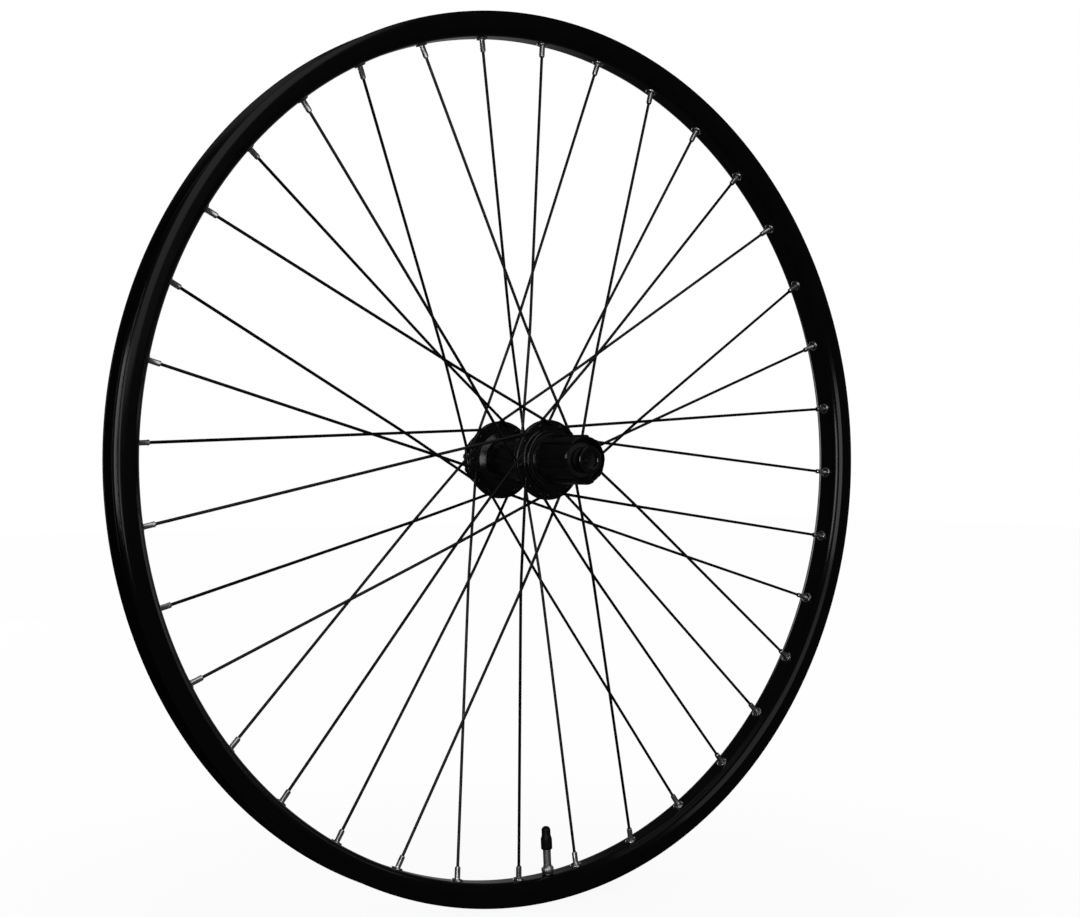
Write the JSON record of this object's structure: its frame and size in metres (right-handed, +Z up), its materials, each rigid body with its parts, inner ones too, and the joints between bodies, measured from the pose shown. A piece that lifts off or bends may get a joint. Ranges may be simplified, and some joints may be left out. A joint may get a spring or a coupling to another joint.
{
  "type": "bicycle wheel",
  "caption": "Rear bicycle wheel with a hollow black rim, crossed wire spokes, a through-axle hub, a splined freehub body and a rotor seat, without tyre.",
  "frame": {"origin": "wheel centre, on the axle axis, midway between the two end faces", "axes": "+Y along the axle to the disc side, +X the way the bike travels, +Z up with the valve near the bottom"},
  "size_m": [0.6339, 0.142, 0.634],
  "materials": {
    "black_rim": "black anodised, glossy",
    "black_hub": "black anodised, satin",
    "black_wire": "black stainless wire",
    "nickel_brass": "nickel plated",
    "bright_steel": "ground and oiled",
    "dark_steel": "dark plated",
    "black_rubber": "moulded",
    "black_plastic": "moulded",
    "tape": "tensioned film",
    "axle_metal": "machined"
  },
  "bodies": {
    "axle": {"axle": "axle_metal", "disc_end_cap": "black_hub", "drive_end_cap": "black_hub", "drive_spacer": "axle_metal", "freehub_spacer": "axle_metal", "disc_bearing_inner": "bright_steel", "drive_bearing_inner": "bright_steel", "freehub_inboard_bearing_inner": "bright_steel", "freehub_outboard_bearing_inner": "bright_steel"},
    "wheel": {"disc_bearing_outer": "bright_steel", "disc_bearing_seals": "black_rubber", "disc_dust_seal": "black_rubber", "drive_bearing_outer": "bright_steel", "drive_bearing_seals": "black_rubber", "freehub_seal": "black_rubber", "hub_shell": "black_hub", "nipples_disc_leading": "nickel_brass", "nipples_disc_trailing": "nickel_brass", "nipples_drive_leading": "nickel_brass", "nipples_drive_trailing": "nickel_brass", "ratchet_ring": "bright_steel", "rim": "black_rim", "rim_tape": "tape", "spokes_disc_leading": "black_wire", "spokes_disc_trailing": "black_wire", "spokes_drive_leading": "black_wire", "spokes_drive_trailing": "black_wire", "valve_core": "nickel_brass", "valve_foot": "black_rubber", "valve_nut": "nickel_brass", "valve_seal_ring": "black_rubber", "valve_stem": "nickel_brass"},
    "freehub": {"freehub_body": "dark_steel", "pawl_spring": "bright_steel", "freehub_inboard_bearing_outer": "bright_steel", "freehub_inboard_bearing_seals": "black_rubber", "freehub_outboard_bearing_outer": "bright_steel", "freehub_outboard_bearing_seals": "black_rubber"},
    "pawl_1": {"pawl_1": "bright_steel"},
    "pawl_2": {"pawl_2": "bright_steel"},
    "pawl_3": {"pawl_3": "bright_steel"},
    "valve_cap": {"valve_cap": "black_plastic"}
  },
  "joints": [
    {"name": "wheel_spin", "type": "hinge", "parent": "axle", "child": "wheel", "pos_m": [0, 0, 0], "axis": [0, 1, 0], "continuous": true},
    {"name": "freehub_spin", "type": "hinge", "parent": "axle", "child": "freehub", "pos_m": [0, -0.045, 0], "axis": [0, 1, 0], "continuous": true},
    {"name": "pawl_1_swing", "type": "hinge", "parent": "freehub", "child": "pawl_1", "pos_m": [0, -0.02045, 0.0124], "axis": [0, 1, 0], "range_deg": [0, 12], "stiffness_Nm_per_rad": 0.01, "springref_deg": -11.46},
    {"name": "pawl_2_swing", "type": "hinge", "parent": "freehub", "child": "pawl_2", "pos_m": [0.01074, -0.02045, -0.0062], "axis": [0, 1, 0], "range_deg": [0, 12], "stiffness_Nm_per_rad": 0.01, "springref_deg": -11.46},
    {"name": "pawl_3_swing", "type": "hinge", "parent": "freehub", "child": "pawl_3", "pos_m": [-0.01074, -0.02045, -0.0062], "axis": [0, 1, 0], "range_deg": [0, 12], "stiffness_Nm_per_rad": 0.01, "springref_deg": -11.46},
    {"name": "valve_cap_pull", "type": "slide", "parent": "wheel", "child": "valve_cap", "axis": [-0.0523, 0, 0.9986], "range_m": [0, 0.014]}
  ]
}
